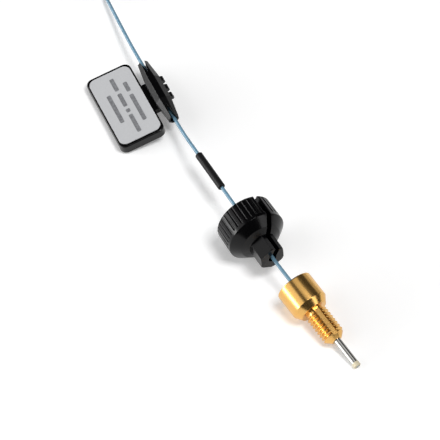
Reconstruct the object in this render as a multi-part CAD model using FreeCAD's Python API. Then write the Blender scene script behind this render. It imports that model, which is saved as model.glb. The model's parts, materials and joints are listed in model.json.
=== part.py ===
import FreeCAD, Part
import math
import os

# A chromatography capillary with a finger-tight fitting at each end and a tag clipped round the tube.
# Millimetres, +Z up, the table is Z = 0. The near fitting points along +X, the coil and the far fitting
# lie beyond the tag along -X. Stations along a fitting are distances behind its tip.

Vector = FreeCAD.Vector

# tube
tube_d = 0.794
overall_length = 650.0
bore_clearance = 0.02

# pressure sleeve and tip seal
sleeve_d = 1.5875
seal_length = 0.97
seal_edge = 0.25
collar_r = 2.0
collar_length = 0.7

# drive screw
screw_front = 7.03
screw_nose_r = 1.15
screw_nose_cone = 1.2
thread_r = 2.413
thread_length = 5.85
neck_r = 1.9
neck_length = 0.8
head_r = 4.0
head_face_r = 3.0
head_bevel = 1.5
head_length = 7.15
head_edge = 0.35
socket_clearance = 0.06
socket_floor_gap = 0.2
groove_width = 1.1
groove_floor_r = 1.88
near_groove_roll = 3.5
screw_bore_clearance = 0.05
front_web = 0.6
chamber_clearance = 0.05

# disc springs behind the collar, and the retainer pressed in behind them
spring_count = 3
spring_thickness = 0.2
spring_dish = 0.07
spring_r = 2.25
spring_bore_clearance = 0.1
retainer_length = 0.8
retainer_r = 2.4
retainer_bore_r = 0.6
sleeve_end_gap = 0.1

# thumb knob
knob_r = 6.4
knob_back_r = 6.3
knob_length = 5.65
knob_edge = 0.3
cone_length = 2.45
cone_step = 1.75
cone_step_r = 4.5
nose_length = 4.15
nose_flats = 5.2
nose_root_r = 3.05
nose_edge = 0.2
slot_width = 1.2
knob_bore_r = 0.6
nose_bore_r = 0.9
rib_count = 36
rib_groove_r = 0.27
rib_groove_depth = 0.24
front_band = 0.9
near_slot_roll = -26.0

# stop sleeve
stop_r = 0.825
stop_length = 10.3
stop_edge = 0.2

# the near fitting's place
axis_y = 2.85
nose_tip_x = 17.94
nose_gap = 0.11
screw_yaw = 7.2
stop_front_x = -3.31

# tag and clip
plate_length = 21.1
plate_width = 10.5
plate_thickness = 2.0
plate_corner = 1.6
plate_edge = 0.25
plate_offset = -0.4
label_length = 19.75
label_width = 9.65
label_thickness = 0.12
label_corner = 1.6
neck_gap = 0.85
clip_neck_length = 7.8
clip_neck_thickness = 1.3
clip_half_length = 8.6
clip_r = 1.75
clip_end_r = 1.15
clip_shoulder = 3.2
clip_bore_r = 0.6
clip_mouth_r = 0.85
clip_mouth_length = 1.6
clip_split = 0.12
lid_notch_length = 3.6
lid_notch_half_width = 0.55
knuckle_count = 3
knuckle_pitch = 2.5
knuckle_length = 1.4
knuckle_r = 0.5
knuckle_reach = 0.2
knuckle_clearance = 0.1
clip_x = -34.61
clip_skew = -1.1

# the tube's route: hand-chosen points from the near tip to the coil, then from the coil to the far tip
nose_bend_half = 3.3
bend_after_stop_x = -15.91
near_points = [Vector(-21.06, 3.5, 4.72), Vector(-47.46, 5.5, 4.2), Vector(-56.16, 6.82, 3.2),
               Vector(-72.81, 9.6, 0.6)]
far_tip_x = -148.31
far_axis_y = 2.9
far_bend_station = 37.9
far_stop_reach = 3.0
far_points = [Vector(-104.61, 4.2, 9.95), Vector(-91.31, 8.25, 3.45)]

# put-away coil
coil_turns = 8
coil_layers = 3
coil_r = 8.955
coil_x = -84.81
coil_y = 1.6
coil_entry_angle = 81.6
coil_exit_angle = 105.0
coil_exit_rise = 0.55
coil_edge = 0.35
tie_thickness = 0.25
tie_angle = 14.0
tie_places = (215.0, 325.0)

# sizes that follow
tube_r = tube_d / 2
sleeve_r = sleeve_d / 2
thread_start = screw_front + screw_nose_cone
thread_end = thread_start + thread_length
head_front = thread_end + neck_length
head_rim = head_front + head_bevel
head_back = head_front + head_length
chamber_front = head_front + front_web
collar_front = chamber_front + chamber_clearance
collar_back = collar_front + collar_length
spring_height = spring_thickness + spring_dish
retainer_front = collar_back + spring_count * spring_height
socket_floor = retainer_front + retainer_length
sleeve_back = retainer_front - sleeve_end_gap
socket_flats = nose_flats + 2 * socket_clearance
far_nose_station = socket_floor + socket_floor_gap
axis_z = knob_r
coil_pitch = tube_d
coil_layer_step = coil_pitch * math.sqrt(3) / 2
coil_width = coil_pitch * 3
coil_height = coil_pitch + coil_layer_step * (coil_layers - 1)
coil_floor = tie_thickness


def turned(profile):
    """Solid of revolution about the X axis from (station, radius) pairs."""
    points = [Vector(-station, 0, radius) for station, radius in profile]
    face = Part.Face(Part.makePolygon(points + points[:1]))
    return face.revolve(Vector(0, 0, 0), Vector(1, 0, 0), 360)


def rod(start, end, radius):
    """Round bar on the X axis between two stations."""
    return Part.makeCylinder(radius, end - start, Vector(-start, 0, 0), Vector(-1, 0, 0))


def hexagonal(start, end, flats):
    """Six-sided bar on the X axis between two stations, a flat up."""
    corner_r = flats / math.sqrt(3)
    turns = [math.radians(60 * i + 30) for i in range(7)]
    corners = [Vector(-start, corner_r * math.sin(turn), corner_r * math.cos(turn)) for turn in turns]
    return Part.Face(Part.makePolygon(corners)).extrude(Vector(start - end, 0, 0))


def placement(origin, yaw, pitch, roll):
    """Frame whose X points along yaw and pitch (positive pitch lowers it), turned about X by roll."""
    turn = FreeCAD.Rotation(Vector(0, 0, 1), yaw)
    dip = FreeCAD.Rotation(Vector(0, 1, 0), pitch)
    spin = FreeCAD.Rotation(Vector(1, 0, 0), roll)
    return FreeCAD.Placement(origin, turn.multiply(dip).multiply(spin))


def put(shape, frame):
    """A copy of the shape in the given frame."""
    return shape.transformed(frame.toMatrix())


def tip_seal():
    """Seal ring at the tip, its front edge rounded."""
    ring = rod(0, seal_length, sleeve_r)
    front = [edge for edge in ring.Edges if edge.Closed and abs(edge.CenterOfMass.x) < 1e-6]
    ring = ring.makeFillet(seal_edge, front)
    return ring.cut(rod(-1, seal_length + 1, tube_r + bore_clearance))


def pressure_sleeve():
    """Steel sleeve round the tube, with the collar that the springs press on."""
    inner = tube_r + bore_clearance
    profile = [(seal_length, inner), (seal_length, sleeve_r), (collar_front, sleeve_r), (collar_front, collar_r),
               (collar_back, collar_r), (collar_back, sleeve_r), (sleeve_back, sleeve_r), (sleeve_back, inner)]
    return turned(profile)


def disc_springs():
    """Dished washers stacked rim to rim behind the collar."""
    inner = sleeve_r + spring_bore_clearance
    stack = []
    for i in range(spring_count):
        front = collar_back + i * spring_height
        dish_inner = spring_dish if i % 2 == 0 else 0
        dish_outer = spring_dish - dish_inner
        stack.append(turned([(front + dish_inner, inner), (front + dish_outer, spring_r),
                             (front + dish_outer + spring_thickness, spring_r),
                             (front + dish_inner + spring_thickness, inner)]))
    return Part.makeCompound(stack)


def spring_retainer():
    """Bush pressed into the head behind the springs."""
    bush = rod(retainer_front, socket_floor, retainer_r)
    return bush.cut(rod(retainer_front - 1, socket_floor + 1, retainer_bore_r))


def drive_screw(groove_roll):
    """Turned screw: cone nose, shank at the thread's major radius, undercut, bevelled head, hex socket."""
    body = turned([(screw_front, 0), (screw_front, screw_nose_r), (thread_start, thread_r), (thread_end, thread_r),
                   (thread_end, neck_r), (head_front, neck_r), (head_front, head_face_r), (head_rim, head_r),
                   (head_back - head_edge, head_r), (head_back, head_r - head_edge), (head_back, 0)])
    groove = Part.makeBox(thread_end - screw_front, groove_width, thread_r,
                          Vector(-thread_end, -groove_width / 2, groove_floor_r))
    groove.rotate(Vector(0, 0, 0), Vector(1, 0, 0), groove_roll)
    bore = rod(screw_front - 1, chamber_front + 1, sleeve_r + screw_bore_clearance)
    chamber = rod(chamber_front, socket_floor + 1, retainer_r)
    socket = hexagonal(socket_floor, head_back + 1, socket_flats)
    return body.cut(Part.makeCompound([groove, bore, chamber, socket]))


def knob_body():
    """Ribbed rim, two-step cone and hexagonal nose; station 0 is the nose's end."""
    rim = nose_length + cone_length
    back = rim + knob_length
    root = nose_length + (cone_length - cone_step)
    body = turned([(nose_length, 0), (nose_length, nose_root_r), (root, cone_step_r),
                   (rim - knob_edge, knob_r - knob_edge), (rim, knob_r), (rim + front_band, knob_r),
                   (back - knob_edge, knob_back_r), (back, knob_back_r - knob_edge), (back, 0)])
    nose = hexagonal(0, nose_length + 1, nose_flats)
    corner = nose_flats / math.sqrt(3)
    nose = nose.common(turned([(0, 0), (0, corner - nose_edge), (nose_edge, corner), (nose_length + 1, corner),
                               (nose_length + 1, 0)]))
    return body.fuse(nose)


def thumb_knob():
    """Knob with its rib grooves and the slot that lets it snap over the tube."""
    rim = nose_length + cone_length
    back = rim + knob_length
    groove_front = rim + front_band
    grooves = []
    for i in range(rib_count):
        centre_r = knob_r - rib_groove_depth + rib_groove_r
        groove = Part.makeCylinder(rib_groove_r, back + 1 - groove_front, Vector(-groove_front, 0, centre_r),
                                   Vector(-1, 0, 0))
        groove = groove.fuse(Part.makeSphere(rib_groove_r, Vector(-groove_front, 0, centre_r)))
        groove.rotate(Vector(0, 0, 0), Vector(1, 0, 0), 360 * (i + 0.5) / rib_count)
        grooves.append(groove)
    slot = Part.makeBox(back + 2, slot_width, knob_r + 1, Vector(-back - 1, -slot_width / 2, 0))
    slot = slot.fuse(rod(-1, back + 1, knob_bore_r)).fuse(rod(-1, nose_length, nose_bore_r))
    return knob_body().cut(Part.makeCompound(grooves)).cut(slot)


def stop_sleeve():
    """Short stiff sleeve fixed on the tube; station 0 is its front."""
    outer = turned([(0, 0), (0, stop_r - stop_edge), (stop_edge, stop_r), (stop_length - stop_edge, stop_r),
                    (stop_length, stop_r - stop_edge), (stop_length, 0)])
    return outer.cut(rod(-1, stop_length + 1, tube_r))


def rounded_plate(length, width, thickness, corner, centre_x, centre_y, base_z):
    """Flat plate with rounded corners."""
    plate = Part.makeBox(length, width, thickness, Vector(centre_x - length / 2, centre_y - width / 2, base_z))
    uprights = [edge for edge in plate.Edges if abs(edge.tangentAt(edge.FirstParameter).z) > 0.9]
    return plate.makeFillet(corner, uprights)


def clip_section(x, radius):
    """Eight-sided section across the clip, centred on the tube, flats up and down."""
    turns = [math.radians(45 * i + 22.5) for i in range(9)]
    corners = [Vector(x, radius * math.cos(turn), radius * math.sin(turn)) for turn in turns]
    return Part.makePolygon(corners)


def clip_spindle():
    """The clip's outer form, eight-sided and tapered to both ends, with the tube's bore and mouths."""
    corner = 1 / math.cos(math.radians(22.5))
    stations = ((-clip_half_length, clip_end_r), (-clip_shoulder, clip_r), (clip_shoulder, clip_r),
                (clip_half_length, clip_end_r))
    spindle = Part.makeLoft([clip_section(x, radius * corner) for x, radius in stations], True, True)
    spindle = spindle.cut(rod(-clip_half_length - 1, clip_half_length + 1, clip_bore_r))
    for side in (-1, 1):
        inner = Vector(side * (clip_half_length - clip_mouth_length), 0, 0)
        spindle = spindle.cut(Part.makeCone(clip_bore_r, clip_mouth_r, clip_mouth_length, inner, Vector(side, 0, 0)))
    return spindle


def knuckle_row(radius, extra):
    """Short bars on the lid's hinge line, each longer by extra at both ends."""
    hinge_y = clip_r + knuckle_reach
    row = []
    for i in range(knuckle_count):
        middle = (i - (knuckle_count - 1) / 2) * knuckle_pitch
        start = middle - knuckle_length / 2 - extra
        row.append(Part.makeCylinder(radius, knuckle_length + 2 * extra, Vector(start, hinge_y, 0), Vector(1, 0, 0)))
    return row


def half_space(above):
    """Box that holds the clip's upper or lower half, short of the split."""
    reach = 3 * clip_half_length
    bottom = clip_split / 2 if above else -clip_split / 2 - reach
    return Part.makeBox(2 * reach, 2 * reach, reach, Vector(-reach, -reach, bottom))


def tag_plate():
    """Plate, neck and lower clip half in one moulding; the tube's axis is the local X axis."""
    plate_y = -clip_r - neck_gap - plate_width / 2
    plate = rounded_plate(plate_length, plate_width, plate_thickness, plate_corner, plate_offset, plate_y, -clip_r)
    rims = [edge for edge in plate.Edges if abs(edge.BoundBox.ZMax + clip_r - plate_thickness) < 1e-6
            and abs(edge.BoundBox.ZMin - edge.BoundBox.ZMax) < 1e-6]
    plate = plate.makeFillet(plate_edge, rims)
    neck_width = neck_gap + clip_r - clip_bore_r - 0.4 + plate_edge * 2
    neck = Part.makeBox(clip_neck_length, neck_width, clip_neck_thickness,
                        Vector(-clip_neck_length / 2, -clip_r - neck_gap - plate_edge * 2, -clip_r))
    lower = clip_spindle().common(half_space(False))
    for bar in knuckle_row(knuckle_r + knuckle_clearance, knuckle_clearance):
        lower = lower.cut(bar)
    return plate.fuse(neck).fuse(lower).removeSplitter()


def tag_label():
    """Thin label on the plate's upper face."""
    label_y = -clip_r - neck_gap - plate_width / 2
    return rounded_plate(label_length, label_width, label_thickness, label_corner, plate_offset, label_y,
                         plate_thickness - clip_r)


def clip_lid():
    """Upper clip half with its hinge knuckles, notched over the tube at both ends."""
    lid = clip_spindle().common(half_space(True))
    web = Part.makeBox(knuckle_length, knuckle_reach + knuckle_r, knuckle_r,
                       Vector(-knuckle_length / 2, clip_r - knuckle_r, clip_split / 2))
    for i, bar in enumerate(knuckle_row(knuckle_r, 0)):
        middle = (i - (knuckle_count - 1) / 2) * knuckle_pitch
        lid = lid.fuse(bar).fuse(web.translated(Vector(middle, 0, 0)))
    for side in (-1, 1):
        end = side * clip_half_length
        mouth = [Vector(end, -lid_notch_half_width, 0), Vector(end, lid_notch_half_width, 0),
                 Vector(end - side * lid_notch_length, 0, 0)]
        notch = Part.Face(Part.makePolygon(mouth + mouth[:1]))
        lid = lid.cut(notch.extrude(Vector(0, 0, 2 * clip_r)))
    return lid.removeSplitter()


def corner_arc(before, at, after):
    """Start, middle and end of the arc that rounds a corner of the route, and its radius."""
    back = (before - at)
    ahead = (after - at)
    reach = 0.45 * min(back.Length, ahead.Length)
    back.normalize()
    ahead.normalize()
    half_turn = (math.pi - back.getAngle(ahead)) / 2
    radius = reach / math.tan(half_turn)
    inward = (back + ahead).normalize()
    centre_distance = radius / math.cos(half_turn)
    middle = at + inward * (centre_distance - radius)
    return at + back * reach, middle, at + ahead * reach, radius


def tube(route, name):
    """Round tube along straight runs joined by tangent arcs."""
    edges = []
    here = route[0]
    for before, at, after in zip(route, route[1:], route[2:]):
        start, middle, end, radius = corner_arc(before, at, after)
        edges.append(Part.LineSegment(here, start).toShape())
        edges.append(Part.Arc(start, middle, end).toShape())
        print(name, "arc radius", round(radius, 2))
        here = end
    edges.append(Part.LineSegment(here, route[-1]).toShape())
    path = Part.Wire(edges)
    direction = route[1] - route[0]
    section = Part.Wire(Part.makeCircle(tube_r, route[0], direction))
    solid = path.makePipeShell([section], True, True)
    print(name, "length", round(path.Length, 2), "volume ratio",
          round(solid.Volume / (math.pi * tube_r ** 2 * path.Length), 5))
    return solid, path.Length


def coil_ring(grow, start, sweep):
    """Part of the bundle's ring about the coil's centre."""
    low = coil_floor - grow
    inner = coil_r - coil_width / 2 - grow
    outer = coil_r + coil_width / 2 + grow
    high = coil_floor + coil_height + grow
    edge = coil_edge + grow
    points = [Vector(inner + edge, 0, low), Vector(outer - edge, 0, low), Vector(outer, 0, low + edge),
              Vector(outer, 0, high - edge), Vector(outer - edge, 0, high), Vector(inner + edge, 0, high),
              Vector(inner, 0, high - edge), Vector(inner, 0, low + edge)]
    face = Part.Face(Part.makePolygon(points + points[:1]))
    ring = face.revolve(Vector(0, 0, 0), Vector(0, 0, 1), sweep)
    ring.rotate(Vector(0, 0, 0), Vector(0, 0, 1), start)
    return ring.translated(Vector(coil_x, coil_y, 0))


def coil_tie(place):
    """Band round the bundle at one place of the ring."""
    start = place - tie_angle / 2
    return coil_ring(tie_thickness, start, tie_angle).cut(coil_ring(0, 0, 360))


def on_ring(radius, angle, z):
    """Point of a turn of the coil."""
    turn = math.radians(angle)
    return Vector(coil_x + radius * math.cos(turn), coil_y + radius * math.sin(turn), z)


def tag_tilt(height, run):
    """Turn about the tube that lets the plate's lowest corner touch the table."""
    slope = run.z / run.Length
    level = math.sqrt(1 - slope ** 2)
    corner_drop = height + (plate_offset - plate_length / 2) * slope
    reach = clip_r + neck_gap + plate_width
    lean = math.asin(corner_drop / level / math.hypot(reach, clip_r)) - math.atan2(clip_r, reach)
    return math.degrees(lean)


# how each fitting lies: its tip and its widest rim both touch the table
near_pitch = math.degrees(math.atan((head_r - sleeve_r) / head_rim))
far_rim = far_nose_station + nose_length + cone_length
far_pitch = math.degrees(math.atan((knob_r - sleeve_r) / far_rim))
corner = Vector(nose_tip_x + nose_gap, axis_y, axis_z)
near_reach = (axis_z - sleeve_r * math.cos(math.radians(near_pitch))) / math.sin(math.radians(near_pitch))
near_forward = placement(Vector(0, 0, 0), screw_yaw, near_pitch, 0).multVec(Vector(1, 0, 0))
near_tip = corner + near_forward * near_reach
far_tip = Vector(far_tip_x, far_axis_y, sleeve_r * math.cos(math.radians(far_pitch)))
near_frame = placement(near_tip, screw_yaw, near_pitch, 0)
far_frame = placement(far_tip, 180, far_pitch, 0)
near_knob_frame = placement(Vector(nose_tip_x, axis_y, axis_z), 0, 0, near_slot_roll)
far_knob_frame = far_frame.multiply(placement(Vector(-far_nose_station, 0, 0), 0, 0, 0))
near_stop_frame = placement(Vector(stop_front_x, axis_y, axis_z), 0, 0, 0)

# the tube's runs, from tip to coil and from coil to tip
coil_entry = on_ring(coil_r + coil_pitch, coil_entry_angle, coil_floor + tube_r)
coil_exit = on_ring(coil_r - coil_pitch, coil_exit_angle, coil_floor + tube_r + 2 * coil_layer_step + coil_exit_rise)
near_bend = [corner + near_forward * nose_bend_half, corner - Vector(nose_bend_half, 0, 0)]
near_route = [near_tip] + near_bend + [Vector(bend_after_stop_x, axis_y, axis_z)] + near_points + [coil_entry]
far_bend = far_frame.multVec(Vector(-far_bend_station, 0, 0))
far_route = [far_tip, far_bend] + far_points + [coil_exit]

# the far stop sleeve sits on the falling run
far_run = far_points[1] - far_points[0]
far_stop_front = far_points[0] + far_run * (far_stop_reach / far_run.Length)
far_stop_yaw = math.degrees(math.atan2(-far_run.y, -far_run.x))
far_stop_pitch = math.degrees(math.atan2(far_run.z, math.hypot(far_run.x, far_run.y)))
far_stop_frame = placement(far_stop_front, far_stop_yaw, far_stop_pitch, 0)

# the tag hangs on the run through its clip
clip_run = near_points[0] - near_points[1]
clip_centre = near_points[1] + clip_run * ((clip_x - near_points[1].x) / clip_run.x)
clip_yaw = math.degrees(math.atan2(clip_run.y, clip_run.x))
clip_pitch = -math.degrees(math.atan2(clip_run.z, math.hypot(clip_run.x, clip_run.y)))
tag_frame = placement(clip_centre, clip_yaw + clip_skew, clip_pitch, tag_tilt(clip_centre.z, clip_run))

near_tube, near_length = tube(near_route, "tube_near_run")
far_tube, far_length = tube(far_route, "tube_far_run")
coil_length = 2 * math.pi * coil_r * coil_turns + math.radians(coil_exit_angle - coil_entry_angle) * coil_r
print("tube in all", round(near_length + far_length + coil_length, 2), "of", overall_length)

parts = {
    "near_tip_seal": put(tip_seal(), near_frame),
    "near_pressure_sleeve": put(pressure_sleeve(), near_frame),
    "near_disc_springs": put(disc_springs(), near_frame),
    "near_spring_retainer": put(spring_retainer(), near_frame),
    "near_drive_screw": put(drive_screw(near_groove_roll), near_frame),
    "near_thumb_knob": put(thumb_knob(), near_knob_frame),
    "near_stop_sleeve": put(stop_sleeve(), near_stop_frame),
    "tag_plate": put(tag_plate(), tag_frame),
    "tag_label": put(tag_label(), tag_frame),
    "clip_lid": put(clip_lid(), tag_frame),
    "tube_near_run": near_tube,
    "tube_coil": coil_ring(0, 0, 360),
    "tube_far_run": far_tube,
    "coil_tie_left": coil_tie(tie_places[0]),
    "coil_tie_right": coil_tie(tie_places[1]),
    "far_stop_sleeve": put(stop_sleeve(), far_stop_frame),
    "far_thumb_knob": put(thumb_knob(), far_knob_frame),
    "far_drive_screw": put(drive_screw(0), far_frame),
    "far_spring_retainer": put(spring_retainer(), far_frame),
    "far_disc_springs": put(disc_springs(), far_frame),
    "far_pressure_sleeve": put(pressure_sleeve(), far_frame),
    "far_tip_seal": put(tip_seal(), far_frame),
}

os.makedirs("parts", exist_ok=True)
for name, shape in parts.items():
    shape.exportStep("parts/" + name + ".step")
    box = shape.BoundBox
    print(name, "solids", len(shape.Solids), "valid", shape.isValid(), "volume", round(shape.Volume, 3),
          "x", round(box.XMin, 2), round(box.XMax, 2), "y", round(box.YMin, 2), round(box.YMax, 2),
          "z", round(box.ZMin, 3), round(box.ZMax, 2))


def say_axis(name, frame, point):
    """Print a joint's place and direction in metres."""
    at = frame.multVec(point) * 0.001
    along = frame.Rotation.multVec(Vector(1, 0, 0))
    print(name, "at", [round(v, 7) for v in at], "along", [round(v, 7) for v in along])


say_axis("near screw", near_frame, Vector(-thread_start, 0, 0))
say_axis("near screw thread middle", near_frame, Vector(-(thread_start + thread_end) / 2, 0, 0))
say_axis("near sleeve middle", near_frame, Vector(-(seal_length + screw_front) / 2, 0, 0))
say_axis("near tip", near_frame, Vector(0, 0, 0))
say_axis("near knob", near_knob_frame, Vector(0, 0, 0))
say_axis("tag", tag_frame, Vector(0, 0, 0))
say_axis("clip lid", tag_frame, Vector(0, clip_r + knuckle_reach, 0))
say_axis("far screw", far_frame, Vector(-thread_start, 0, 0))
say_axis("far screw thread middle", far_frame, Vector(-(thread_start + thread_end) / 2, 0, 0))
say_axis("far sleeve middle", far_frame, Vector(-(seal_length + screw_front) / 2, 0, 0))
say_axis("far tip", far_frame, Vector(0, 0, 0))
say_axis("far knob", far_knob_frame, Vector(0, 0, 0))
print("route corner", near_bend, "far bend", far_bend)
print("coil entry", coil_entry, "exit", coil_exit, "far stop", far_stop_front)
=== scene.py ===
import bpy
import bmesh
import json
import math
from mathutils import Matrix, Vector


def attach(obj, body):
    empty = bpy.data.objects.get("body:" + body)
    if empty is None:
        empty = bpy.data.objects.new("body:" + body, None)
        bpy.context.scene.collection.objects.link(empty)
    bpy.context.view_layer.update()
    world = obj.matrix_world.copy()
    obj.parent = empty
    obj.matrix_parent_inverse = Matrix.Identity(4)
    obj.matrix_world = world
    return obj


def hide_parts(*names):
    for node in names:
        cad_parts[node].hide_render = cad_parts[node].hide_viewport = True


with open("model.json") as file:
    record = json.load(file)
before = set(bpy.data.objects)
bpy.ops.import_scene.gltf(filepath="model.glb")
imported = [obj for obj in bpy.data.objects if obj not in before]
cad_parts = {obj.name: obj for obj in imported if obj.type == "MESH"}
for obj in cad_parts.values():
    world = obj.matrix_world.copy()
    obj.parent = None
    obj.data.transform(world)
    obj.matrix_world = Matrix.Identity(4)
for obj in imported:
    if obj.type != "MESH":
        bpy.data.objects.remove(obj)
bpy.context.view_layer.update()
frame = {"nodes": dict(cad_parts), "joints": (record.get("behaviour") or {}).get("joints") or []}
nodes = frame["nodes"]
joints = {joint["name"]: joint for joint in frame["joints"]}
scene = bpy.context.scene
scene.view_settings.view_transform = "Standard"
mm = 0.001
print("frame loaded,", len(nodes), "nodes")


# small helpers

def hexColour(text, alpha=1.0):
    channels = [int(text[i:i + 2], 16) / 255 for i in (1, 3, 5)]
    return tuple(c / 12.92 if c <= 0.04045 else ((c + 0.055) / 1.055) ** 2.4 for c in channels) + (alpha,)


def addNode(tree, kind, settings=None, links=None):
    node = tree.nodes.new(kind)
    for name, value in (settings or {}).items():
        if name in node.inputs:
            node.inputs[name].default_value = value
        else:
            setattr(node, name, value)
    for name, source in (links or {}).items():
        tree.links.new(source, node.inputs[name])
    return node


def newMaterial(name, settings):
    material = bpy.data.materials.new(name)
    material.use_nodes = True
    tree = material.node_tree
    shader = tree.nodes["Principled BSDF"]
    for socket, value in settings.items():
        shader.inputs[socket].default_value = value
    return material, tree, shader


def objectPlace(tree):
    return addNode(tree, "ShaderNodeTexCoord").outputs["Object"]


def paint(piece, material):
    piece.data.materials.clear()
    piece.data.materials.append(material)


def axisFrame(origin, forward, roll=0.0):
    ahead = Vector(forward).normalized()
    side = Vector((0, 0, 1)).cross(ahead).normalized()
    above = ahead.cross(side)
    turn = Matrix((ahead, side, above)).transposed().to_4x4()
    return Matrix.Translation(Vector(origin)) @ turn @ Matrix.Rotation(math.radians(roll), 4, "X")


def finishMesh(name, mesh, place, body, material, sharpAngle=35.0, weldDistance=1e-6):
    bm = bmesh.new()
    bm.from_mesh(mesh)
    bmesh.ops.remove_doubles(bm, verts=bm.verts, dist=weldDistance)
    bmesh.ops.recalc_face_normals(bm, faces=bm.faces)
    bm.to_mesh(mesh)
    bm.free()
    mesh.transform(place)
    for face in mesh.polygons:
        face.use_smooth = True
    mesh.set_sharp_from_angle(angle=math.radians(sharpAngle))
    piece = bpy.data.objects.new(name, mesh)
    scene.collection.objects.link(piece)
    paint(piece, material)
    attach(piece, body)
    return piece


def softCorners(profile, radii, steps=4, longestShare=0.48):
    # rounds the corners of an open (station, radius) outline that have a radius in the list
    out = [profile[0]]
    for i in range(1, len(profile) - 1):
        at = Vector(profile[i])
        back = Vector(profile[i - 1]) - at
        ahead = Vector(profile[i + 1]) - at
        if not radii[i]:
            out.append(tuple(at))
            continue
        half = back.angle(ahead) / 2
        reach = min(radii[i] / math.tan(half), longestShare * min(back.length, ahead.length))
        start = at + back.normalized() * reach
        end = at + ahead.normalized() * reach
        for k in range(steps + 1):
            t = k / steps
            out.append(tuple(start * (1 - t) ** 2 + at * 2 * t * (1 - t) + end * t ** 2))
    out.append(profile[-1])
    return out


# camera

cameraSet = {
    "target": (-0.386 * mm, 0.714 * mm, 0.0),
    "azimuth": 60.87,      # degrees round from looking along +Y
    "elevation": 52.0,
    "distance": 0.600,
    "lens": 233.2,
    "sensorWidth": 36.0,
    "clipStart": 0.01,
}
turn = math.radians(cameraSet["azimuth"])
rise = math.radians(cameraSet["elevation"])
backward = Vector((math.sin(turn) * math.cos(rise), -math.cos(turn) * math.cos(rise), math.sin(rise)))
cameraData = bpy.data.cameras.new("camera")
cameraData.lens = cameraSet["lens"]
cameraData.sensor_width = cameraSet["sensorWidth"]
cameraData.clip_start = cameraSet["clipStart"]
camera = bpy.data.objects.new("camera", cameraData)
camera.location = Vector(cameraSet["target"]) + backward * cameraSet["distance"]
camera.rotation_euler = backward.to_track_quat("Z", "Y").to_euler()
scene.collection.objects.link(camera)
scene.camera = camera
print("camera set")


# floor, world and lamps

light = {
    "floor": "#F2F2F2",
    "floorGlow": 0.20,     # share of white that the seen floor adds, so it stays white round the shadow
    "floorReach": 6.0,     # half width in metres
    "sky": "#FFFFFF",
    "skyStrength": 0.05,
    # each softbox: place, size and power, all aimed at the part
    "softboxes": {
        "keySoftbox": ((0.30, 0.15, 0.89), (0.34, 0.34), 5.6),
        "topSoftbox": ((-0.15, 0.01, 0.84), (0.46, 0.46), 0.48),
        "sideSoftbox": ((0.68, 0.46, 0.36), (0.30, 0.40), 0.8),
        "frontStrip": ((-0.45, -0.86, 0.15), (1.70, 0.26), 12.0),
        "frontPanel": ((-0.20, -0.81, 0.52), (1.20, 0.80), 3.4),
        "backStrip": ((-0.25, 0.90, 0.20), (1.20, 0.40), 0.8),
    },
}
for name, (place, size, power) in light["softboxes"].items():
    lamp = bpy.data.lights.new(name, "AREA")
    lamp.shape = "RECTANGLE"
    lamp.size = size[0]
    lamp.size_y = size[1]
    lamp.energy = power
    holder = bpy.data.objects.new(name, lamp)
    holder.location = place
    holder.rotation_euler = Vector(place).to_track_quat("Z", "Y").to_euler()
    scene.collection.objects.link(holder)

world = bpy.data.worlds.new("studio")
world.use_nodes = True
scene.world = world
background = world.node_tree.nodes["Background"]
background.inputs["Color"].default_value = hexColour(light["sky"])
background.inputs["Strength"].default_value = light["skyStrength"]

floorMesh = bpy.data.meshes.new("floor")
reach = light["floorReach"]
floorCorners = [(-reach, -reach, 0), (reach, -reach, 0), (reach, reach, 0), (-reach, reach, 0)]
floorMesh.from_pydata(floorCorners, [], [(0, 1, 2, 3)])
floor = bpy.data.objects.new("floor", floorMesh)
scene.collection.objects.link(floor)
# white laminate table top: matt, and plain white wherever it is seen, mirrored or seen through the tube
whiteTable, tree, shader = newMaterial("whiteLaminateTable", {
    "Base Color": hexColour(light["floor"]), "Roughness": 0.9, "Emission Color": hexColour(light["sky"])})
rays = addNode(tree, "ShaderNodeLightPath").outputs
seen = addNode(tree, "ShaderNodeMath", {"operation": "MAXIMUM"},
               {0: rays["Is Camera Ray"], 1: rays["Is Glossy Ray"]})
seenThrough = addNode(tree, "ShaderNodeMath", {"operation": "MAXIMUM"},
                      {0: seen.outputs["Value"], 1: rays["Is Transmission Ray"]})
glow = addNode(tree, "ShaderNodeMath", {"operation": "MULTIPLY"}, {0: seenThrough.outputs["Value"]})
glow.inputs[1].default_value = light["floorGlow"]
tree.links.new(glow.outputs["Value"], shader.inputs["Emission Strength"])
paint(floor, whiteTable)
print("floor and lamps set")


# the tube, one smooth line from tip to tip with its spare length in the coil

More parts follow.
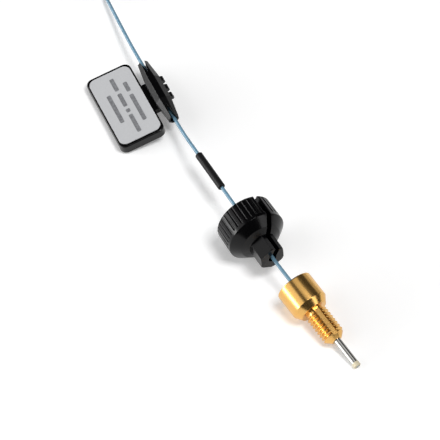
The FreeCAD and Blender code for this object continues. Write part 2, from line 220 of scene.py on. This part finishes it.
tube = {
    "diameter": 0.794 * mm,
    "length": 650 * mm,
    "nearRun": [(46.5401, 6.4491, 0.779), (27.8, 4.0817, 4.4764), (21.263, 3.2559, 5.7661),
                (14.75, 2.85, 6.4), (8.1, 2.85, 6.4), (-10.4, 2.85, 6.4), (-15.91, 2.85, 6.4),
                (-21.06, 3.5, 4.72), (-26.57, 3.9174, 4.6115), (-47.46, 5.5, 4.2),
                (-56.16, 6.82, 3.2), (-72.81, 9.6, 0.6)],
    "farRun": [(-91.31, 8.25, 3.45), (-104.61, 4.2, 9.95), (-111.3545, 2.9, 9.1823), (-118.2, 2.9, 7.6248),
               (-148.31, 2.9, 0.774)],
    "coilCentre": (-84.81, 1.6),
    "coilRadius": 8.955,
    "coilFloor": 0.25,
    "entryAngle": 81.6,
    "exitAngle": 105.0,
    "exitRise": 0.55,
    "exitRiseAngle": 40,   # degrees of the last turn in which the tube rises to leave the coil
    "pointsPerTurn": 16,
    "stepShare": 0.2,      # share of a turn in which the tube steps over to the next turn's place
    # each turn's place: pitches out from the middle, layer
    "turnPlaces": [(1, 0), (0, 0), (-1, 0), (-0.5, 1), (0.5, 1), (1, 2), (0, 2), (-1, 2)],
    "colour": "#779FB6",
    "roughness": 0.15,
    "transmission": 0.4,
    "grains": 900.0,       # grains of the skin in a metre
    "dent": 0.02 * mm,
}


def coilPoints(setting):
    pitch = setting["diameter"] / mm
    layer = pitch * math.sqrt(3) / 2
    count = setting["pointsPerTurn"]
    places = setting["turnPlaces"]
    extra = setting["exitAngle"] - setting["entryAngle"]
    total = len(places) * count + round(extra / 360 * count)
    widen = 1 / math.cos(math.pi / count)   # the smooth line runs a little inside its points
    points = []
    for i in range(total + 1):
        turnNumber = min(i // count, len(places) - 1)
        part = i / count - turnNumber
        out, level = places[turnNumber]
        if turnNumber + 1 < len(places):
            share = min(max((part - 1 + setting["stepShare"]) / setting["stepShare"], 0), 1)
            share = share * share * (3 - 2 * share)
            out += (places[turnNumber + 1][0] - out) * share
            level += (places[turnNumber + 1][1] - level) * share
        height = setting["coilFloor"] + pitch / 2 + level * layer
        left = (total - i) * 360 / count
        if left < setting["exitRiseAngle"]:
            height += setting["exitRise"] * (1 - left / setting["exitRiseAngle"])
        angle = math.radians(setting["entryAngle"] + (len(places) * 360 + extra) * i / total)
        radius = (setting["coilRadius"] + out * pitch) * widen
        points.append((setting["coilCentre"][0] + radius * math.cos(angle),
                       setting["coilCentre"][1] + radius * math.sin(angle), height))
    return points


# extruded tinted polymer: partly clear, so the far side shines through as a light edge
tintedPolymer, tree, shader = newMaterial("extrudedTintedPolymer", {
    "Base Color": hexColour(tube["colour"]), "Roughness": tube["roughness"], "IOR": 1.5,
    "Transmission Weight": tube["transmission"]})
grain = addNode(tree, "ShaderNodeTexNoise", {"Scale": tube["grains"], "Detail": 3.0},
                {"Vector": objectPlace(tree)})
dents = addNode(tree, "ShaderNodeBump", {"Strength": 0.06, "Distance": tube["dent"]},
                {"Height": grain.outputs["Fac"]})
tree.links.new(dents.outputs["Normal"], shader.inputs["Normal"])

line = bpy.data.curves.new("capillary_tube", "CURVE")
line.dimensions = "3D"
route = tube["nearRun"] + coilPoints(tube) + tube["farRun"]
spline = line.splines.new("NURBS")
spline.points.add(len(route) - 1)
for point, place in zip(spline.points, route):
    point.co = (place[0] * mm, place[1] * mm, place[2] * mm, 1)
spline.order_u = 3
spline.use_endpoint_u = True
spline.resolution_u = 8
line.bevel_depth = tube["diameter"] / 2
line.bevel_resolution = 4
line.use_fill_caps = True
capillary = bpy.data.objects.new("capillary_tube", line)
scene.collection.objects.link(capillary)
paint(capillary, tintedPolymer)
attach(capillary, "root")
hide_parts("tube_near_run", "tube_coil", "tube_far_run")
print("tube laid,", len(route), "points")


# materials of the solid pieces

surface = {
    # patches of gloss in a metre, their lowest and highest change of the roughness,
    # and the depth of the skin's dents
    "plastic": {"patches": 220.0, "glossRange": (-0.04, 0.06), "dent": 0.02 * mm, "bevelSamples": 8},
    "metal": {"patches": 300.0, "glossRange": (-0.03, 0.05), "dent": 0.01 * mm, "marksAcross": 60.0},
}


def unevenGloss(tree, shader, place, roughness, kind):
    cloud = addNode(tree, "ShaderNodeTexNoise", {"Scale": kind["patches"], "Detail": 2.0},
                    {"Vector": place})
    shiniest, dullest = (roughness + change for change in kind["glossRange"])
    gloss = addNode(tree, "ShaderNodeMapRange", {"To Min": shiniest, "To Max": dullest},
                    {"Value": cloud.outputs["Fac"]})
    tree.links.new(gloss.outputs["Result"], shader.inputs["Roughness"])


def mouldedPlastic(name, setting):
    # soft edges, a faint mould texture in the gloss and fine dents in the skin
    kind = surface["plastic"]
    material, tree, shader = newMaterial(name, {
        "Base Color": hexColour(setting["colour"]), "IOR": setting["ior"],
        "Specular IOR Level": setting["specular"]})
    place = objectPlace(tree)
    skin = addNode(tree, "ShaderNodeTexNoise", {"Scale": 1 / setting["grain"], "Detail": 4.0},
                   {"Vector": place})
    edges = addNode(tree, "ShaderNodeBevel", {"samples": kind["bevelSamples"], "Radius": setting["edge"]})
    dents = addNode(tree, "ShaderNodeBump", {"Strength": setting["bump"], "Distance": kind["dent"]},
                    {"Height": skin.outputs["Fac"], "Normal": edges.outputs["Normal"]})
    tree.links.new(dents.outputs["Normal"], shader.inputs["Normal"])
    unevenGloss(tree, shader, place, setting["roughness"], kind)
    return material


plastics = {
    # moulded black acetal: deep black, satin with crisp light edges
    "mouldedBlackAcetal": {"colour": "#030304", "ior": 1.48, "specular": 0.25, "roughness": 0.18,
                           "grain": 0.35 * mm, "bump": 0.10, "edge": 0.06 * mm},
    # extruded black sleeve: matt, a little lighter than the knob
    "extrudedBlackPolymer": {"colour": "#101011", "ior": 1.46, "specular": 0.25, "roughness": 0.45,
                             "grain": 0.5 * mm, "bump": 0.12, "edge": 0.10 * mm},
    # moulded black polypropylene: smooth skin that mirrors the strip lights in its facets
    "mouldedBlackPolypropylene": {"colour": "#030304", "ior": 1.49, "specular": 0.35, "roughness": 0.16,
                                  "grain": 0.5 * mm, "bump": 0.06, "edge": 0.10 * mm},
    # moulded PEEK: opaque cream, dull
    "mouldedCreamPeek": {"colour": "#D0C5A8", "ior": 1.65, "specular": 0.4, "roughness": 0.5,
                         "grain": 0.3 * mm, "bump": 0.10, "edge": 0.08 * mm},
    # thin polymer band: milky white and shiny
    "milkyPolymerBand": {"colour": "#DEDEDC", "ior": 1.5, "specular": 0.5, "roughness": 0.3,
                         "grain": 0.4 * mm, "bump": 0.05, "edge": 0.05 * mm},
}
made = {name: mouldedPlastic(name, setting) for name, setting in plastics.items()}


def turnedMetal(name, setting):
    # fine marks from turning, seen as a slight spread of the highlights
    kind = surface["metal"]
    across = kind["marksAcross"]
    material, tree, shader = newMaterial(name, {
        "Base Color": hexColour(setting["colour"]), "Metallic": 1.0})
    place = objectPlace(tree)
    stretched = addNode(tree, "ShaderNodeMapping", {"Scale": (1 / setting["ring"], across, across)},
                        {"Vector": place})
    rings = addNode(tree, "ShaderNodeTexNoise", {"Scale": 1.0, "Detail": 3.0},
                    {"Vector": stretched.outputs["Vector"]})
    marks = addNode(tree, "ShaderNodeBump", {"Strength": setting["bump"], "Distance": kind["dent"]},
                    {"Height": rings.outputs["Fac"]})
    tree.links.new(marks.outputs["Normal"], shader.inputs["Normal"])
    unevenGloss(tree, shader, place, setting["roughness"], kind)
    return material


metals = {
    # turned brass with polished gold plating: warm, bright, with wide soft highlights
    "polishedGoldPlate": {"colour": "#E2B166", "ring": 0.15 * mm, "bump": 0.08, "roughness": 0.23},
    # drawn stainless steel tube, polished: neutral and mirror bright
    "polishedStainlessSteel": {"colour": "#C4C3BF", "ring": 0.2 * mm, "bump": 0.06, "roughness": 0.13},
    # rolled spring steel: greyer and duller
    "rolledSpringSteel": {"colour": "#8E8D8A", "ring": 0.1 * mm, "bump": 0.15, "roughness": 0.30},
}
made.update({name: turnedMetal(name, setting) for name, setting in metals.items()})


def twoTone(name, setting):
    # two close shades in a fine speckle
    material, tree, shader = newMaterial(name, setting["shader"])
    speckle = addNode(tree, "ShaderNodeTexNoise", {"Scale": setting["scale"], "Detail": setting["detail"]},
                      {"Vector": objectPlace(tree)})
    tones = addNode(tree, "ShaderNodeValToRGB", {}, {"Fac": speckle.outputs["Fac"]})
    for element, position, shade in zip(tones.color_ramp.elements, setting["positions"], setting["shades"]):
        element.position = position
        element.color = hexColour(shade)
    tree.links.new(tones.outputs["Color"], shader.inputs["Base Color"])
    return material


prints = {
    # printed polyester film: silver-grey, matt, with a very fine paper-like speckle
    "mattPolyesterFilm": {"shader": {"Roughness": 0.55, "IOR": 1.5, "Specular IOR Level": 0.3},
                          "scale": 2500.0, "detail": 2.0,
                          "positions": (0, 1), "shades": ("#B2B3B5", "#BCBDBF")},
    # screen-print ink: dark grey with a dull sheen
    "screenPrintInk": {"shader": {"Roughness": 0.6},
                       "scale": 1800.0, "detail": 3.0,
                       "positions": (0.35, 0.65), "shades": ("#66676A", "#7E7F82")},
}
made.update({name: twoTone(name, setting) for name, setting in prints.items()})

nodeMaterials = {
    "tip_seal": made["mouldedCreamPeek"], "pressure_sleeve": made["polishedStainlessSteel"],
    "disc_springs": made["rolledSpringSteel"], "spring_retainer": made["polishedGoldPlate"],
    "thumb_knob": made["mouldedBlackAcetal"], "stop_sleeve": made["extrudedBlackPolymer"],
    "tag_plate": made["mouldedBlackPolypropylene"], "clip_lid": made["mouldedBlackPolypropylene"],
    "tag_label": made["mattPolyesterFilm"],
    "coil_tie_left": made["milkyPolymerBand"], "coil_tie_right": made["milkyPolymerBand"],
}
for name, piece in nodes.items():
    for ending, material in nodeMaterials.items():
        if name.endswith(ending):
            paint(piece, material)
print("materials made")


# drive screws: fine thread, undercut and bevelled head, turned in one piece

screw = {
    "front": 7.03,         # stations in millimetres behind the tip
    "noseRadius": 1.15,
    "noseCone": 1.2,
    "threadRadius": 2.413,
    "threadLength": 5.85,
    "threadPitch": 0.794,
    "threadDepth": 0.42,
    "crestShare": 0.12,    # half of a crest's or root's flat, as a share of half a pitch
    "rowsPerPitch": 12,
    "neckRadius": 1.9,
    "neckLength": 0.8,
    "faceRadius": 3.0,
    "bevel": 1.5,
    "headRadius": 4.0,
    "headLength": 7.15,
    "headRootRadius": 1.7,
    # roundings at the root, face edge, bevel edge, back edge and back face
    "headRounding": (0, 0.08, 0.10, 0.35, 0),
    "backFaceRadius": 3.3,
    # depths behind the back face with their distances out from the socket's flats
    "socketEdge": ((0, 0.12), (0, 0.08), (0.1, 0)),
    "boreRadius": 0.84,
    "grooveHalfWidth": 0.55,
    "grooveFloor": 1.88,
    "socketFlats": 5.32,
    "socketFloor": 17.84,
    "retainerBore": 0.62,
    "columns": 96,
    "nearRoll": 3.5,       # degrees that the groove turns about the axis
}


def threadRadiusAt(setting, station, angle):
    rise = (setting["threadRadius"] - setting["noseRadius"]) / setting["noseCone"]
    envelope = min(setting["threadRadius"], setting["noseRadius"] + (station - setting["front"]) * rise)
    phase = (station / setting["threadPitch"] + angle / (2 * math.pi)) % 1.0
    valley = 1 - abs(2 * phase - 1)                       # 0 on a crest, 1 in a root
    flat = setting["crestShare"]
    valley = min(max((valley - flat) / (1 - 2 * flat), 0), 1)
    return min(envelope, setting["threadRadius"] - setting["threadDepth"] * valley)


def threadedShank(setting):
    count = setting["columns"]
    half = setting["grooveHalfWidth"]
    edgeAngle = math.asin(half / setting["threadRadius"])
    neckStart = setting["front"] + setting["noseCone"] + setting["threadLength"]
    headFront = neckStart + setting["neckLength"]
    rows = [(setting["front"], setting["boreRadius"]), (setting["front"], None)]
    run = neckStart - setting["front"]
    rowCount = round(run / setting["threadPitch"] * setting["rowsPerPitch"])
    rows += [(setting["front"] + run * i / rowCount, None) for i in range(1, rowCount + 1)]
    rows += [(neckStart, setting["neckRadius"]), (headFront, setting["neckRadius"])]
    verts = []
    for station, fixed in rows:
        for k in range(count + 1):
            angle = edgeAngle + (2 * math.pi - 2 * edgeAngle) * k / count
            radius = fixed or threadRadiusAt(setting, station, angle)
            y = radius * math.sin(angle)
            z = radius * math.cos(angle)
            if k in (0, count):
                y = half if k == 0 else -half
                z = math.sqrt(radius ** 2 - half ** 2)
            verts.append((-station, y, z))
        floorZ = min(setting["grooveFloor"], z)
        verts += [(-station, -half, floorZ), (-station, half, floorZ)]
    ring = count + 3
    faces = []
    for row in range(len(rows) - 1):
        for k in range(ring):
            beside = (k + 1) % ring
            faces.append((row * ring + k, row * ring + beside,
                          (row + 1) * ring + beside, (row + 1) * ring + k))
    return verts, faces


def lathe(profile, count, hexRows):
    # rings about the X axis; rows named in hexRows are six-sided with that distance from the axis to a flat
    verts = []
    faces = []
    for row, (station, radius) in enumerate(profile):
        for k in range(count):
            angle = 2 * math.pi * k / count
            r = radius
            if row in hexRows:
                fromFlat = (angle + math.pi / 6) % (math.pi / 3) - math.pi / 6
                r = radius / math.cos(fromFlat)
            verts.append((-station, r * math.sin(angle), r * math.cos(angle)))
    for row in range(len(profile) - 1):
        for k in range(count):
            faces.append((row * count + k, row * count + (k + 1) % count,
                          (row + 1) * count + (k + 1) % count, (row + 1) * count + k))
    return verts, faces


def headShell(setting):
    front = setting["front"] + setting["noseCone"] + setting["threadLength"] + setting["neckLength"]
    back = front + setting["headLength"]
    radius = setting["headRadius"]
    outline = [(front, setting["headRootRadius"]), (front, setting["faceRadius"]),
               (front + setting["bevel"], radius), (back, radius), (back, setting["backFaceRadius"])]
    rounded = softCorners(outline, setting["headRounding"])
    hexStart = len(rounded)
    flats = setting["socketFlats"] / 2
    rounded += [(back - depth, flats + out) for depth, out in setting["socketEdge"]]
    rounded += [(setting["socketFloor"], flats), (setting["socketFloor"], setting["retainerBore"])]
    return lathe(rounded, setting["columns"], range(hexStart, len(rounded) - 1))


def driveScrew(name, place, body, node):
    verts, faces = threadedShank(screw)
    headVerts, headFaces = headShell(screw)
    faces += [tuple(i + len(verts) for i in face) for face in headFaces]
    verts += headVerts
    mesh = bpy.data.meshes.new(name)
    mesh.from_pydata([(x * mm, y * mm, z * mm) for x, y, z in verts], [], faces)
    piece = finishMesh(name, mesh, place, body, made["polishedGoldPlate"])
    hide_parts(node)
    return piece


threadStart = (screw["front"] + screw["noseCone"]) * mm
nearAxis = Vector(joints["near_screw_turn"]["axis"])
nearTip = Vector(joints["near_screw_turn"]["pos_m"]) + nearAxis * threadStart
farAxis = Vector(joints["far_screw_turn"]["axis"])
farTip = Vector(joints["far_screw_turn"]["pos_m"]) + farAxis * threadStart
nearPlace = axisFrame(nearTip, nearAxis, screw["nearRoll"])
driveScrew("near_screw_turned", nearPlace, "near_screw", "near_drive_screw")
farScrew = driveScrew("far_screw_turned", axisFrame(farTip, farAxis), "far_screw", "far_drive_screw")
print("drive screws made")


# plain printed bars on the label

label = {
    "tilt": 11.10,         # degrees that the tag leans about the tube
    "top": 0.37,           # millimetres above the tube's axis
    "ink": 0.015,
    "corner": 0.25,
    "cornerSteps": 4,      # short edges round a corner
    # rows of bars: middle across the label, height, then the bars' starts and ends along it
    "rows": [(-5.50, 0.95, [(-6.1, -3.3), (-2.3, 5.6)]),
             (-7.75, 0.95, [(-8.4, -4.7), (-3.8, 0.1), (0.9, 1.9), (2.6, 7.9)]),
             (-10.05, 0.95, [(-4.5, 3.8)])],
}
bars = bmesh.new()
for middle, height, spans in label["rows"]:
    for start, end in spans:
        corner = label["corner"]
        outline = []
        for x, y, first in ((end, 1, 0), (start, 1, 90), (start, -1, 180), (end, -1, 270)):
            cornerX = x - corner if x == end else x + corner
            cornerY = middle + y * (height / 2 - corner)
            for step in range(label["cornerSteps"] + 1):
                angle = math.radians(first + step * 90 / label["cornerSteps"])
                outline.append((cornerX + corner * math.cos(angle), cornerY + corner * math.sin(angle)))
        verts = [bars.verts.new((x * mm, y * mm, label["top"] * mm)) for x, y in outline]
        face = bars.faces.new(verts)
        lifted = bmesh.ops.extrude_face_region(bars, geom=[face])["geom"]
        upper = [part for part in lifted if isinstance(part, bmesh.types.BMVert)]
        bmesh.ops.translate(bars, vec=(0, 0, label["ink"] * mm), verts=upper)
barMesh = bpy.data.meshes.new("printed_bars")
bars.to_mesh(barMesh)
bars.free()
tagJoint = joints["tag_swing"]
tagPlace = axisFrame(tagJoint["pos_m"], tagJoint["axis"], label["tilt"])
finishMesh("printed_bars", barMesh, tagPlace, "tag", made["screenPrintInk"])
print("label bars printed")
